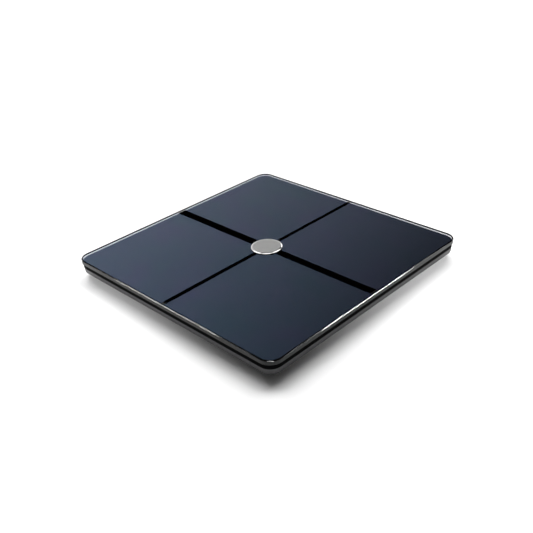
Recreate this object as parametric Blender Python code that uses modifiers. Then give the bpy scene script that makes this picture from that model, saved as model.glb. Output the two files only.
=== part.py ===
"""Digital bathroom scale: a square glass platform with four electrode films on a slim plastic case.

Metres, +Z up. The origin is on the floor under the middle of the platform. The user stands facing +Y,
the rear. Every solid keeps a small gap to the one it rests on.
"""

import math

import bmesh
import bpy
from mathutils import Vector

# ---- Driving dimensions -------------------------------------------------------------------------
SIDE = 0.300  # side of the glass
HEIGHT = 0.022  # floor to the top of the glass
GLASS_THICKNESS = 0.005
GLASS_CORNER = 0.014
GLASS_ARRIS = 0.0007  # small chamfer ground along the glass's edges
REST_GAP = 0.0003  # between solids that rest on each other
FILM_GAP = 0.0001  # under and between films
FILM = 0.0001  # thickness of a film
PAST = 0.001  # how far a cutter runs past the face it opens

# Film pattern on the glass
FILM_MARGIN = 0.0015  # clear glass round the films
WIDE_LINE = 0.0096  # black line between the left and right electrodes
NARROW_LINE = 0.0047  # black line between the front and rear electrodes

# Disc over the hole where the electrodes are contacted
DISC_RADIUS = 0.0175
DISC_BEVEL = 0.0022
DISC_THICKNESS = 0.0010
GASKET = 0.00015
GLASS_HOLE = 0.007
FILM_HOLE = 0.0085
FRAME_HOLE = 0.008
CONTACT_BOARD_SIDE = 0.022
CONTACT_BOARD_THICKNESS = 0.0010
CONTACT_PEG_X = 0.0095
CONTACT_PEG_RADIUS = 0.0007

# Case
FRAME_INSET = 0.0013
SHELL_INSET = 0.0016
WALL = 0.002
SKIRT = 0.0041
FRAME_PLATE = 0.002
FRAME_RIBS_X = (-0.086, 0.086)
FRAME_RIBS_Y = (-0.066, 0.068)
RIB = 0.0016
RIB_BOTTOM = 0.0095
LIP = 0.002  # how far the frame's lip reaches down inside the shell
SEAT_MARGIN = 0.001  # the frame's seats round each load cell
SEAT_WALL = 0.0035
GLASS_BOTTOM = HEIGHT - GLASS_THICKNESS
FRAME_TOP = GLASS_BOTTOM - 0.001
PLATE_BOTTOM = FRAME_TOP - FRAME_PLATE
CONTACT_BOARD_TOP = PLATE_BOTTOM - REST_GAP
SEAM = 0.0120  # bottom of the frame's skirt
SHELL_TOP = SEAM - REST_GAP
SHELL_BOTTOM = 0.0037
SHELL_FLOOR = SHELL_BOTTOM + WALL
SHELL_ROUND = 0.0045

# Feet and load cells
FOOT_PLACE = 0.112  # from the middle, both ways
FOOT_WELL = 0.0195
FOOT_RADIUS = 0.0185
COLLAR = 0.0023  # wall of the collar round a foot well
CELL_SIDE = 0.034
CELL_BOTTOM = 0.0071
CELL_THICKNESS = 0.0016
CELL_HOLE = 0.0025
CELL_TOP = CELL_BOTTOM + CELL_THICKNESS

# Battery bay: three AAA cells, axes along X
CELLS = 3
BATTERY_LENGTH = 0.0445
BATTERY_RADIUS = 0.00525
BATTERY_NUB = 0.0009
BATTERY_PITCH = 0.0113
BATTERY_SPRING_WIRE = 0.00035
CONTACT_PLATE = 0.0005
CONTACT_HALF = 0.0042
BAY_Y = -0.035
BAY_LENGTH = 0.053
BAY_WIDTH = 0.035
BAY_WALL = 0.003
BAY_TOP = 0.0155
DOOR_LENGTH = 0.056
DOOR_WIDTH = 0.038
DOOR_THICKNESS = 0.0015
DOOR_CLEARANCE = 0.0003
DOOR_HINGE_CLEARANCE = 0.0006
DOOR_TAB_X = 0.018
DOOR_TAB_WIDTH = 0.008
BATTERY_Z = SHELL_BOTTOM + DOOR_THICKNESS + 0.0004 + BATTERY_RADIUS
LEAD_EXIT_Z = 0.0122  # where the battery leads leave the bay

# Boards
BOARD_Y = 0.038
BOARD_LENGTH = 0.064
BOARD_WIDTH = 0.038
BOARD_BOTTOM = 0.0096
BOARD_THICKNESS = 0.0016
BOARD_TOP = BOARD_BOTTOM + BOARD_THICKNESS
BOARD_POST_X = 0.028
BOARD_POST_Y = 0.015
DISPLAY_Y = 0.088
DISPLAY_LENGTH = 0.060
DISPLAY_WIDTH = 0.022
DISPLAY_BOARD_BOTTOM = 0.0104
DISPLAY_BOARD_THICKNESS = 0.0014
DISPLAY_DIGITS = 4
DIGIT_PITCH = 0.0135
BUTTON_X = 0.018
BUTTON_Y = 0.032
BUTTON_RADIUS = 0.004
BUTTON_TRAVEL = 0.0005

# Fasteners and leads
SCREW_EDGE = 0.134  # from the middle to a screw along one axis
SCREW_SIDE = 0.060  # and along the other
SCREW_SHANK = 0.0012
SCREW_HEAD = 0.0024
SCREW_LEDGE = SHELL_BOTTOM + 0.0022  # where the shell's counterbore ends
SHELL_BOSS_RADIUS = 0.005
BOSS_RADIUS = 0.004
BOSS_BOTTOM = SHELL_FLOOR + 0.0023
OVERLAP = 0.0005  # how far a joined shape runs into the one it joins
INTO_PLATE = PLATE_BOTTOM + OVERLAP
INTO_FLOOR = SHELL_FLOOR - OVERLAP
LEAD_RADIUS = 0.0009
CONNECTOR_Z = BOARD_TOP + REST_GAP
CONNECTOR_FRONT = BOARD_Y - BOARD_WIDTH / 2 + 0.002
LEAD_Z = CONNECTOR_Z + 0.0011  # where the leads enter the connector
FLOOR_LEAD_Z = SHELL_FLOOR + REST_GAP + LEAD_RADIUS

LEFT_RIGHT = (("left", -1), ("right", 1))
FRONT_REAR = (("front", -1), ("rear", 1))
CORNERS = [(f"{fr}_{lr}", sx, sy) for fr, sy in FRONT_REAR for lr, sx in LEFT_RIGHT]

BLACK_PLASTIC = ((0.010, 0.010, 0.011), 0.45, 0.0)
GREY_PLASTIC = ((0.055, 0.055, 0.056), 0.40, 0.0)
WHITE_PLASTIC = ((0.75, 0.75, 0.72), 0.45, 0.0)
STEEL = ((0.55, 0.55, 0.56), 0.30, 1.0)
RUBBER = ((0.035, 0.035, 0.036), 0.85, 0.0)
BOARD_GREEN = ((0.02, 0.16, 0.07), 0.40, 0.0)


# ---- Scene helpers ------------------------------------------------------------------------------
def clear_scene():
    for obj in list(bpy.data.objects):
        bpy.data.objects.remove(obj, do_unlink=True)


def new_collection(name):
    collection = bpy.data.collections.new(name)
    bpy.context.scene.collection.children.link(collection)
    return collection


clear_scene()
PARTS = new_collection("bathroom_scale")
CUTTERS = new_collection("cutters")


def paint(obj, finish):
    """Gives obj its own Principled material from (colour, roughness, metallic)."""
    colour, roughness, metallic = finish
    material = bpy.data.materials.new(obj.name)
    material.use_nodes = True
    shader = material.node_tree.nodes["Principled BSDF"]
    shader.inputs["Base Color"].default_value = (*colour, 1.0)
    shader.inputs["Roughness"].default_value = roughness
    shader.inputs["Metallic"].default_value = metallic
    obj.data.materials.append(material)


def add_object(name, data, finish=None):
    """Links a new object: a part when it has a finish, otherwise a cutter, which isn't built."""
    obj = bpy.data.objects.new(name, data)
    if finish:
        PARTS.objects.link(obj)
        paint(obj, finish)
    else:
        CUTTERS.objects.link(obj)
        obj.hide_render = True
        obj.display_type = "WIRE"
    return obj


def mesh_from(bm, name):
    mesh = bpy.data.meshes.new(name)
    bm.to_mesh(mesh)
    bm.free()
    return mesh


def smoothing_nodes():
    """Geometry nodes that shade a finished mesh smooth, except across edges sharper than 30 degrees."""
    group = bpy.data.node_groups.new("smooth_by_angle", "GeometryNodeTree")
    group.interface.new_socket("Geometry", in_out="INPUT", socket_type="NodeSocketGeometry")
    group.interface.new_socket("Geometry", in_out="OUTPUT", socket_type="NodeSocketGeometry")
    source = group.nodes.new("NodeGroupInput")
    angle = group.nodes.new("GeometryNodeInputMeshEdgeAngle")
    gentle = group.nodes.new("FunctionNodeCompare")
    gentle.operation = "LESS_THAN"
    gentle.inputs["B"].default_value = math.radians(30)
    edges = group.nodes.new("GeometryNodeSetShadeSmooth")
    edges.domain = "EDGE"
    faces = group.nodes.new("GeometryNodeSetShadeSmooth")
    faces.domain = "FACE"
    target = group.nodes.new("NodeGroupOutput")
    group.links.new(angle.outputs["Unsigned Angle"], gentle.inputs["A"])
    group.links.new(source.outputs[0], edges.inputs["Geometry"])
    group.links.new(gentle.outputs["Result"], edges.inputs["Shade Smooth"])
    group.links.new(edges.outputs[0], faces.inputs["Geometry"])
    group.links.new(faces.outputs[0], target.inputs[0])
    return group


SMOOTHING = smoothing_nodes()


def smooth(obj):
    obj.modifiers.new("smooth", "NODES").node_group = SMOOTHING
    return obj


def boolean(obj, operation, others):
    for other in others:
        modifier = obj.modifiers.new(f"{operation.lower()}_{other.name}", "BOOLEAN")
        modifier.operation = operation
        modifier.object = other
    return obj


def cut(obj, *cutters):
    return boolean(obj, "DIFFERENCE", cutters)


def join(obj, *additions):
    return boolean(obj, "UNION", additions)


# ---- Shape helpers ------------------------------------------------------------------------------
def arc(centre, radius, start, end, steps):
    """Points of an arc, angles in degrees, both ends included."""
    angles = [math.radians(start + (end - start) * i / steps) for i in range(steps + 1)]
    return [(centre[0] + radius * math.cos(a), centre[1] + radius * math.sin(a)) for a in angles]


def rounded_rectangle(length, width, radius, centre=(0, 0), steps=6):
    """Counter-clockwise outline with round corners."""
    x, y = length / 2 - radius, width / 2 - radius
    corners = (((x, y), 0), ((-x, y), 90), ((-x, -y), 180), ((x, -y), 270))
    return [
        point
        for (cx, cy), start in corners
        for point in arc((centre[0] + cx, centre[1] + cy), radius, start, start + 90, steps)
    ]


def rectangle(length, width, centre=(0, 0)):
    x, y = length / 2, width / 2
    return [(centre[0] + sx * x, centre[1] + sy * y) for sx, sy in ((-1, -1), (1, -1), (1, 1), (-1, 1))]


def circle(radius, centre=(0, 0), steps=24):
    return arc(centre, radius, 0, 360 * (steps - 1) / steps, steps - 1)


def plate(name, outlines, bottom, top, finish):
    """A flat piece from a filled 2D curve: the first outline is its edge, the others are holes."""
    curve = bpy.data.curves.new(name, "CURVE")
    curve.dimensions = "2D"
    curve.fill_mode = "BOTH"
    curve.extrude = (top - bottom) / 2
    for outline in outlines:
        spline = curve.splines.new("POLY")
        spline.points.add(len(outline) - 1)
        for point, (x, y) in zip(spline.points, outline):
            point.co = (x, y, 0, 1)
        spline.use_cyclic_u = True
    obj = add_object(name, curve, finish)
    obj.location.z = (top + bottom) / 2
    return obj


def block(name, low, high, finish=None, corner=0.0, steps=6):
    """A box from its lowest to its highest corner, its upright edges rounded by corner."""
    bm = bmesh.new()
    bmesh.ops.create_cube(bm, size=1.0)
    low, high = Vector(low), Vector(high)
    bmesh.ops.scale(bm, vec=high - low, verts=bm.verts)
    if corner:
        upright = [e for e in bm.edges if abs(e.verts[0].co.z - e.verts[1].co.z) > (high - low).z / 2]
        bmesh.ops.bevel(bm, geom=upright, offset=corner, segments=steps, profile=0.5, affect="EDGES")
    obj = add_object(name, mesh_from(bm, name), finish)
    obj.location = (low + high) / 2
    return obj


def square_slab(name, side, bottom, top, corner, finish=None, steps=6):
    """A square block about the origin's axis."""
    half = side / 2
    return block(name, (-half, -half, bottom), (half, half, top), finish, corner, steps)


def cylinder(name, radius, bottom, top, centre, finish=None, steps=24):
    bm = bmesh.new()
    bmesh.ops.create_cone(
        bm, cap_ends=True, segments=steps, radius1=radius, radius2=radius, depth=top - bottom
    )
    obj = add_object(name, mesh_from(bm, name), finish)
    obj.location = (centre[0], centre[1], (top + bottom) / 2)
    return obj


def turned(name, profile, centre, finish=None, steps=24):
    """A turned piece about the upright axis at centre, from a closed profile of (radius, height).

    The profile starts on the axis at the top, runs down the outer side and ends on the axis.
    """
    mesh = bpy.data.meshes.new(name)
    mesh.from_pydata([(r, 0, z) for r, z in profile], [(i, i + 1) for i in range(len(profile) - 1)], [])
    obj = add_object(name, mesh, finish)
    screw = obj.modifiers.new("turn", "SCREW")
    screw.steps = screw.render_steps = steps
    screw.use_merge_vertices = True
    screw.merge_threshold = 0.000001
    screw.use_smooth_shade = False
    obj.location = (centre[0], centre[1], 0)
    return obj


def smooth_route(route, spacing):
    """Points about spacing apart on a smooth (Catmull-Rom) curve through the route's points."""
    ends = [2 * Vector(route[0]) - Vector(route[1]), 2 * Vector(route[-1]) - Vector(route[-2])]
    knots = [ends[0], *map(Vector, route), ends[1]]
    points = [knots[1]]
    for before, start, end, after in zip(knots, knots[1:], knots[2:], knots[3:]):
        steps = max(1, round((end - start).length / spacing))
        for i in range(1, steps + 1):
            t = i / steps
            points.append(
                0.5
                * (
                    2 * start
                    + (end - before) * t
                    + (2 * before - 5 * start + 4 * end - after) * t**2
                    + (3 * start - before - 3 * end + after) * t**3
                )
            )
    return points


def wire(name, points, radius, finish):
    """A round wire as a bevelled POLY curve with filled caps."""
    curve = bpy.data.curves.new(name, "CURVE")
    curve.dimensions = "3D"
    curve.bevel_depth = radius
    curve.bevel_resolution = 2
    curve.use_fill_caps = True
    spline = curve.splines.new("POLY")
    spline.points.add(len(points) - 1)
    for point, place in zip(spline.points, points):
        point.co = (*place, 1)
    return add_object(name, curve, finish)


def curve_to_mesh(obj):
    """Replaces a curve object by a closed mesh object of the same name and place, with its own material."""
    graph = bpy.context.evaluated_depsgraph_get()
    mesh = bpy.data.meshes.new_from_object(obj.evaluated_get(graph))
    bm = bmesh.new()
    bm.from_mesh(mesh)
    bmesh.ops.remove_doubles(bm, verts=bm.verts, dist=0.000001)
    bmesh.ops.recalc_face_normals(bm, faces=bm.faces)
    bm.to_mesh(mesh)
    bm.free()
    made = bpy.data.objects.new(obj.name + "_mesh", mesh)
    made.matrix_world = obj.matrix_world
    for collection in obj.users_collection:
        collection.objects.link(made)
    made.hide_render = obj.hide_render
    made.display_type = obj.display_type
    name = obj.name
    bpy.data.objects.remove(obj, do_unlink=True)
    made.name = name
    return made


def strip(name, path, width, thickness, finish, rotation=0.0):
    """A bent sheet strip: path is its side view as (along, up), extruded across by width."""
    bm = bmesh.new()
    line = [bm.verts.new((along, -width / 2, up)) for along, up in path]
    edges = [bm.edges.new(pair) for pair in zip(line, line[1:])]
    grown = bmesh.ops.extrude_edge_only(bm, edges=edges)["geom"]
    bmesh.ops.translate(bm, vec=(0, width, 0), verts=[v for v in grown if isinstance(v, bmesh.types.BMVert)])
    obj = add_object(name, mesh_from(bm, name), finish)
    solidify = obj.modifiers.new("thickness", "SOLIDIFY")
    solidify.thickness = thickness
    solidify.offset = 0
    solidify.use_even_offset = True
    obj.rotation_euler.z = rotation
    return obj


# ---- Platform -----------------------------------------------------------------------------------
def build_glass():
    glass = square_slab(
        "glass_platform", SIDE, GLASS_BOTTOM, HEIGHT, GLASS_CORNER, ((0.02, 0.025, 0.03), 0.03, 0.0), 8
    )
    arris = glass.modifiers.new("arris", "BEVEL")
    arris.width = GLASS_ARRIS
    arris.segments = 1
    arris.limit_method = "ANGLE"
    arris.angle_limit = math.radians(60)
    cut(glass, cylinder("glass_hole", GLASS_HOLE, GLASS_BOTTOM - PAST, HEIGHT + PAST, (0, 0)))
    smooth(glass)


def electrode_outline(sx, sy):
    """One quadrant of the film pattern, its inner corner cut back round the middle hole."""
    half = SIDE / 2 - FILM_MARGIN
    corner = GLASS_CORNER - FILM_MARGIN
    x, y = WIDE_LINE / 2, NARROW_LINE / 2
    inner_start = math.degrees(math.acos(x / FILM_HOLE))
    inner_end = math.degrees(math.asin(y / FILM_HOLE))
    outline = arc((0, 0), FILM_HOLE, inner_start, inner_end, 4)
    outline += [(half, y)]
    outline += arc((half - corner, half - corner), corner, 0, 90, 8)
    outline += [(x, half)]
    outline = [(sx * px, sy * py) for px, py in outline]
    return outline if sx * sy > 0 else outline[::-1]


def build_films():
    bottom = HEIGHT + FILM_GAP
    for corner, sx, sy in CORNERS:
        plate(
            f"electrode_{corner}",
            [electrode_outline(sx, sy)],
            bottom,
            bottom + FILM,
            ((0.045, 0.060, 0.090), 0.18, 0.6),
        )


def build_disc():
    gasket_bottom = HEIGHT + FILM_GAP + FILM + FILM_GAP + 2 * FILM
    gasket_top = gasket_bottom + GASKET
    disc_bottom = gasket_top + FILM_GAP
    disc_top = disc_bottom + DISC_THICKNESS
    rim = disc_bottom + DISC_THICKNESS * 0.4
    plate(
        "disc_gasket",
        [circle(DISC_RADIUS - 0.0008, steps=36)],
        gasket_bottom,
        gasket_top,
        BLACK_PLASTIC,
    )
    disc = turned(
        "centre_disc",
        [
            (0, disc_top),
            (DISC_RADIUS - DISC_BEVEL, disc_top),
            (DISC_RADIUS - 0.0003, rim + 0.0001),
            (DISC_RADIUS, rim - 0.0002),
            (DISC_RADIUS, disc_bottom),
            (0, disc_bottom),
        ],
        (0, 0),
        ((0.62, 0.62, 0.61), 0.28, 1.0),
        steps=48,
    )
    smooth(disc)


def build_electrode_contacts():
    """Four bent strips that rise from the contact board through the glass and lie on the electrodes."""
    foot = CONTACT_BOARD_TOP + FILM_GAP + FILM / 2
    head = HEIGHT + FILM_GAP + FILM + FILM_GAP + FILM / 2
    leg = GLASS_HOLE - 0.0006
    path = [(leg - 0.002, foot), (leg, foot), (leg, head), (FILM_HOLE + 0.004, head)]
    for corner, sx, sy in CORNERS:
        strip(
            f"electrode_contact_{corner}",
            path,
            0.0025,
            FILM,
            ((0.80, 0.55, 0.28), 0.25, 1.0),
            math.atan2(sy, sx),
        )


def build_contact_board():
    """A small board pegged under the frame's middle hole, and its flat lead to the main connector."""
    plate(
        "contact_board",
        [
            rounded_rectangle(CONTACT_BOARD_SIDE, CONTACT_BOARD_SIDE, 0.002, steps=2),
            *[circle(0.0010, (sign * CONTACT_PEG_X, 0), 10) for _, sign in LEFT_RIGHT],
        ],
        CONTACT_BOARD_TOP - CONTACT_BOARD_THICKNESS,
        CONTACT_BOARD_TOP,
        BOARD_GREEN,
    )
    start, end = CONTACT_BOARD_SIDE / 2 + REST_GAP, CONNECTOR_FRONT - REST_GAP
    middle = CONTACT_BOARD_TOP - CONTACT_BOARD_THICKNESS / 2
    path = [(start, middle), (start + 0.002, middle), (end - 0.003, LEAD_Z), (end, LEAD_Z)]
    lead = strip("electrode_lead", path, 0.0042, 2 * FILM, WHITE_PLASTIC, math.pi / 2)
    lead.location.x = -0.008


def build_glass_tape():
    outer = SIDE - 0.008
    inner = outer - 0.020
    plate(
        "glass_tape",
        [
            rounded_rectangle(outer, outer, GLASS_CORNER - 0.004),
            rounded_rectangle(inner, inner, 0.004)[::-1],
        ],
        FRAME_TOP + REST_GAP,
        GLASS_BOTTOM - REST_GAP,
        BLACK_PLASTIC,
    )


# ---- Case ---------------------------------------------------------------------------------------
def screw_places():
    """Two screws along each side of the case, as (name, x, y), named by side."""
    places = []
    for left_right, sx in LEFT_RIGHT:
        for front_rear, sy in FRONT_REAR:
            places.append((f"{left_right}_{front_rear}", sx * SCREW_EDGE, sy * SCREW_SIDE))
            places.append((f"{front_rear}_{left_right}", sx * SCREW_SIDE, sy * SCREW_EDGE))
    return places


def join_frame_ribs(frame, reach):
    """Ribs across the whole tray, two each way."""
    for index, x in enumerate(FRAME_RIBS_X):
        low, high = (x - RIB / 2, -reach, RIB_BOTTOM), (x + RIB / 2, reach, INTO_PLATE)
        join(frame, block(f"frame_rib_x{index}", low, high))
    for index, y in enumerate(FRAME_RIBS_Y):
        low, high = (-reach, y - RIB / 2, RIB_BOTTOM), (reach, y + RIB / 2, INTO_PLATE)
        join(frame, block(f"frame_rib_y{index}", low, high))


def join_cell_seats(frame):
    """A square hollow seat that presses on the rim of each load cell."""
    bottom = CELL_TOP + REST_GAP
    outer = CELL_SIDE / 2 + SEAT_MARGIN
    inner = outer - SEAT_WALL
    for corner, sx, sy in CORNERS:
        x, y = sx * FOOT_PLACE, sy * FOOT_PLACE
        seat = block(f"seat_{corner}", (x - outer, y - outer, bottom), (x + outer, y + outer, INTO_PLATE))
        low, high = (x - inner, y - inner, bottom - PAST), (x + inner, y + inner, PLATE_BOTTOM)
        join(frame, seat)
        cut(frame, block(f"seat_hollow_{corner}", low, high))


def join_frame_bosses(frame):
    """A boss with a pilot hole for each case screw, and two pegs for the contact board."""
    pilot_radius, pilot_top = SCREW_SHANK + 0.0002, FRAME_TOP - 0.0015
    for name, x, y in screw_places():
        boss = cylinder(f"frame_boss_{name}", BOSS_RADIUS, BOSS_BOTTOM, INTO_PLATE, (x, y), steps=12)
        pilot = cylinder(f"frame_pilot_{name}", pilot_radius, BOSS_BOTTOM - PAST, pilot_top, (x, y), steps=8)
        join(frame, boss)
        cut(frame, pilot)
    peg_bottom = CONTACT_BOARD_TOP - CONTACT_BOARD_THICKNESS - 0.0006
    for side, sx in LEFT_RIGHT:
        name, place = f"contact_peg_{side}", (sx * CONTACT_PEG_X, 0)
        join(frame, cylinder(name, CONTACT_PEG_RADIUS, peg_bottom, INTO_PLATE, place, steps=8))


def cut_frame_openings(frame):
    """The battery bay's opening, the display window and the hole for the electrode contacts."""
    bay_x, bay_y = BAY_LENGTH / 2 + BAY_WALL + 0.0006, BAY_WIDTH / 2 + BAY_WALL + 0.0006
    x, y = DISPLAY_LENGTH / 2 + 0.0015, DISPLAY_WIDTH / 2 + 0.0015
    bottom, top = SEAM - LIP - PAST, FRAME_TOP + PAST
    cut(
        frame,
        block("frame_bay", (-bay_x, BAY_Y - bay_y, bottom), (bay_x, BAY_Y + bay_y, top)),
        block("frame_window", (-x, DISPLAY_Y - y, bottom), (x, DISPLAY_Y + y, top)),
        cylinder("frame_contact_hole", FRAME_HOLE, bottom, top, (0, 0)),
    )


def build_top_frame():
    """Black tray, open below, that carries the glass: plate, skirt, lip, ribs, seats and bosses."""
    side = SIDE - 2 * FRAME_INSET
    corner = GLASS_CORNER - FRAME_INSET
    lip_inset = SHELL_INSET + WALL + REST_GAP
    lip_side, lip_corner = SIDE - 2 * lip_inset, GLASS_CORNER - lip_inset
    hollow_side, hollow_corner = side - 2 * SKIRT, corner - SKIRT
    frame = square_slab("top_frame", side, SEAM, FRAME_TOP, corner, BLACK_PLASTIC)
    join(frame, square_slab("frame_lip", lip_side, SEAM - LIP, SEAM + OVERLAP, lip_corner))
    cut(frame, square_slab("frame_hollow", hollow_side, SEAM - LIP - PAST, PLATE_BOTTOM, hollow_corner))
    join_frame_ribs(frame, hollow_side / 2 + OVERLAP)
    join_cell_seats(frame)
    join_frame_bosses(frame)
    cut_frame_openings(frame)


def shell_body():
    """The open tray itself, its outer bottom edge rounded and its wall made by Solidify."""
    side, corner = SIDE - 2 * SHELL_INSET, GLASS_CORNER - SHELL_INSET
    shell = square_slab("bottom_shell", side, SHELL_BOTTOM, SHELL_TOP, corner, GREY_PLASTIC)
    bm = bmesh.new()
    bm.from_mesh(shell.data)
    low = min(v.co.z for v in bm.verts)
    high = max(v.co.z for v in bm.verts)
    rim = [e for e in bm.edges if all(abs(v.co.z - low) < 1e-6 for v in e.verts)]
    bmesh.ops.bevel(bm, geom=rim, offset=SHELL_ROUND, segments=3, profile=0.5, affect="EDGES")
    lid = [f for f in bm.faces if all(abs(v.co.z - high) < 1e-6 for v in f.verts)]
    bmesh.ops.delete(bm, geom=lid, context="FACES")
    bm.to_mesh(shell.data)
    bm.free()
    solidify = shell.modifiers.new("wall", "SOLIDIFY")
    solidify.thickness = WALL
    solidify.offset = -1
    solidify.use_even_offset = True
    return shell


def join_foot_wells(shell):
    """A round well with a low collar for each foot; the load cell's corners lie on the collar."""
    for corner, sx, sy in CORNERS:
        place = (sx * FOOT_PLACE, sy * FOOT_PLACE)
        top = CELL_BOTTOM - REST_GAP
        join(shell, cylinder(f"collar_{corner}", FOOT_WELL + COLLAR, INTO_FLOOR, top, place))
        cut(shell, cylinder(f"well_{corner}", FOOT_WELL, SHELL_BOTTOM - PAST, top + PAST, place))


def join_screw_bosses(shell):
    """A boss with a counterbore for the head, open below, at each screw."""
    top, bottom = BOSS_BOTTOM - REST_GAP, SHELL_BOTTOM - PAST
    hole, head = SCREW_SHANK + 0.0003, SCREW_HEAD + 0.0006
    profile = [
        (0, top + PAST),
        (hole, top + PAST),
        (hole, SCREW_LEDGE),
        (head, SCREW_LEDGE),
        (head, bottom),
        (0, bottom),
    ]
    for name, x, y in screw_places():
        join(shell, cylinder(f"shell_boss_{name}", SHELL_BOSS_RADIUS, INTO_FLOOR, top, (x, y), steps=12))
        cut(shell, turned(f"screw_hole_{name}", profile, (x, y), steps=12))


def join_battery_bay(shell):
    """Upright walls round the cells, with a rebate below them for the door, tab slots and lead holes."""
    x, y = BAY_LENGTH / 2, BAY_WIDTH / 2
    wall_x, wall_y = x + BAY_WALL, y + BAY_WALL
    below = SHELL_BOTTOM - PAST
    rebate_top = SHELL_BOTTOM + DOOR_THICKNESS + DOOR_CLEARANCE
    rebate_x = DOOR_LENGTH / 2 + DOOR_CLEARANCE
    front = BAY_Y - DOOR_WIDTH / 2 - DOOR_HINGE_CLEARANCE
    rear = BAY_Y + DOOR_WIDTH / 2 + DOOR_CLEARANCE
    join(shell, block("bay_walls", (-wall_x, BAY_Y - wall_y, INTO_FLOOR), (wall_x, BAY_Y + wall_y, BAY_TOP)))
    cut(
        shell,
        block("bay_hollow", (-x, BAY_Y - y, below), (x, BAY_Y + y, BAY_TOP + PAST)),
        block("door_rebate", (-rebate_x, front, below), (rebate_x, rear, rebate_top)),
    )
    for index, sign in enumerate((-1, 1)):
        middle, half = sign * DOOR_TAB_X, DOOR_TAB_WIDTH / 2 + 0.0006
        cut(
            shell,
            block(
                f"tab_slot_{index}",
                (middle - half, front - 0.0023, SHELL_BOTTOM + 0.0006),
                (middle + half, BAY_Y - y + PAST, SHELL_BOTTOM + 0.0045),
            ),
        )
    latch_half = 0.0065
    cut(
        shell,
        block(
            "latch_slot",
            (-latch_half, BAY_Y + y - PAST, SHELL_BOTTOM + 0.001),
            (latch_half, BAY_Y + y + 0.0022, SHELL_BOTTOM + 0.0060),
        ),
    )
    for name, (wall, exit_y) in battery_lead_exits().items():
        low_x, high_x = sorted((wall * (x - PAST), wall * (wall_x + PAST)))
        half = LEAD_RADIUS + 0.0004
        cut(
            shell,
            block(
                f"lead_hole_{name}",
                (low_x, exit_y - half, LEAD_EXIT_Z - half),
                (high_x, exit_y + half, LEAD_EXIT_Z + half),
            ),
        )


def cell_y(index):
    """Battery cells count from the rear of the bay to its front."""
    return BAY_Y + BATTERY_PITCH * ((CELLS - 1) / 2 - index)


def battery_lead_exits():
    """Which end wall (-1 left, 1 right) each lead leaves through, and at which cell."""
    return {"negative": (-1, cell_y(0)), "positive": (1, cell_y(CELLS - 1))}


def board_posts():
    return [(sx * BOARD_POST_X, BOARD_Y + sy * BOARD_POST_Y) for sx in (-1, 1) for sy in (-1, 1)]


def join_board_posts(shell):
    """Posts with a thin heat-staked pin that hold the main board."""
    for index, place in enumerate(board_posts()):
        shoulder = BOARD_BOTTOM - REST_GAP
        join(
            shell,
            turned(
                f"board_post_{index}",
                [
                    (0, BOARD_TOP + 0.0008),
                    (0.0011, BOARD_TOP + 0.0008),
                    (0.0011, shoulder),
                    (0.0028, shoulder),
                    (0.0028, INTO_FLOOR),
                    (0, INTO_FLOOR),
                ],
                place,
                steps=12,
            ),
        )


def join_display_posts(shell):
    """Plain posts that hold the display board up against the glass."""
    for side, sign in LEFT_RIGHT:
        place = (sign * (DISPLAY_LENGTH / 2 - 0.004), DISPLAY_Y)
        top = DISPLAY_BOARD_BOTTOM - REST_GAP
        join(shell, cylinder(f"display_post_{side}", 0.003, INTO_FLOOR, top, place, steps=12))


def build_bottom_shell():
    shell = shell_body()
    join_foot_wells(shell)
    join_screw_bosses(shell)
    join_battery_bay(shell)
    join_board_posts(shell)
    join_display_posts(shell)
    below, above = SHELL_BOTTOM - PAST, SHELL_FLOOR + PAST
    cut(shell, cylinder("button_hole", BUTTON_RADIUS + 0.0003, below, above, (BUTTON_X, BUTTON_Y)))
    smooth(shell)


def build_screws():
    head_bottom = SHELL_BOTTOM + 0.0005
    head_top = SHELL_BOTTOM + 0.0019
    tip = FRAME_TOP - 0.0022
    arm, slot = 0.0013, 0.0004  # half the length and half the width of each slot of the cross recess
    slot_bottom, slot_top = head_bottom - PAST, head_bottom + 0.0008
    for name, x, y in screw_places():
        screw = turned(
            f"shell_screw_{name}",
            [
                (0, tip),
                (SCREW_SHANK * 0.4, tip),
                (SCREW_SHANK, tip - 0.001),
                (SCREW_SHANK, head_top),
                (SCREW_HEAD, head_top),
                (SCREW_HEAD, head_bottom + 0.0005),
                (SCREW_HEAD * 0.8, head_bottom),
                (0, head_bottom),
            ],
            (x, y),
            STEEL,
            steps=12,
        )
        for half_x, half_y in ((arm, slot), (slot, arm)):
            low, high = (x - half_x, y - half_y, slot_bottom), (x + half_x, y + half_y, slot_top)
            cut(screw, block(f"slot_{name}", low, high))


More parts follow.
